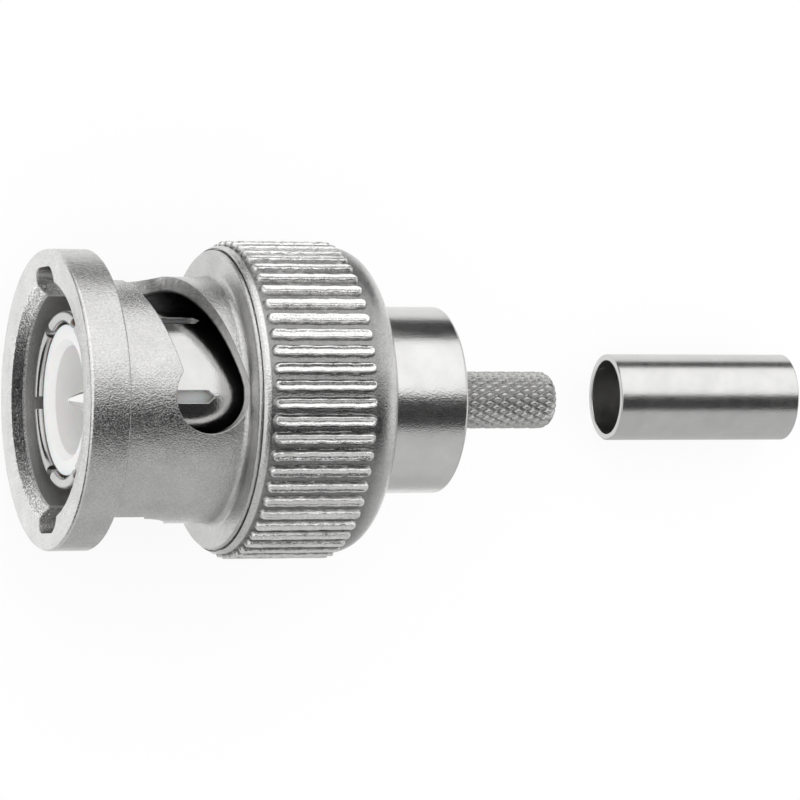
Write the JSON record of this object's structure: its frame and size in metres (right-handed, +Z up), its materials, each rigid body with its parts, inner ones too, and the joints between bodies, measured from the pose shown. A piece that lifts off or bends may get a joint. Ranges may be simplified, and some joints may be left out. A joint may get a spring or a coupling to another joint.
{
  "type": "bnc connector",
  "caption": "Straight bayonet coaxial plug with a slotted, knurled coupling nut, a sprung outer contact, a knurled crimp spigot and a loose crimp ferrule.",
  "frame": {"origin": "centre of the mouth of the coupling nut, on the plug's axis", "axes": "+X along the plug's axis from the mouth to the cable end, +Z up, with the plug lying on its side on its knurled collar"},
  "size_m": [0.0389, 0.0144, 0.0144],
  "materials": {
    "nut_nickel": "satin nickel plate over a fine cast grain",
    "turned_nickel": "smooth nickel plate over turned brass",
    "ferrule_nickel": "bright nickel plate over drawn tube",
    "insulator_white": "machined white fluoropolymer",
    "pin_plate": "bright plate",
    "gasket_rubber": "dark silicone rubber",
    "spring_metal": "bare spring strip",
    "washer_brass": "turned brass"
  },
  "bodies": {
    "connector_body": {"outer_contact": "turned_nickel", "crimp_body": "turned_nickel", "front_insulator": "insulator_white", "rear_insulator": "insulator_white", "centre_contact": "pin_plate", "gasket": "gasket_rubber", "wave_washer_front": "spring_metal", "wave_washer_rear": "spring_metal", "crimp_ferrule": "ferrule_nickel"},
    "spring_seat": {"thrust_washer": "washer_brass"},
    "coupling_nut": {"bayonet_sleeve": "nut_nickel", "knurled_collar": "nut_nickel"}
  },
  "joints": [
    {"name": "coupling_slide", "type": "slide", "parent": "connector_body", "child": "spring_seat", "axis": [-1, 0, 0], "range_m": [0, 0.0007], "stiffness_N_per_m": 2000, "springref_m": -0.001, "deforming": ["wave_washer_front", "wave_washer_rear"]},
    {"name": "coupling_turn", "type": "hinge", "parent": "spring_seat", "child": "coupling_nut", "pos_m": [0.013, 0, 0], "axis": [1, 0, 0], "continuous": true}
  ]
}
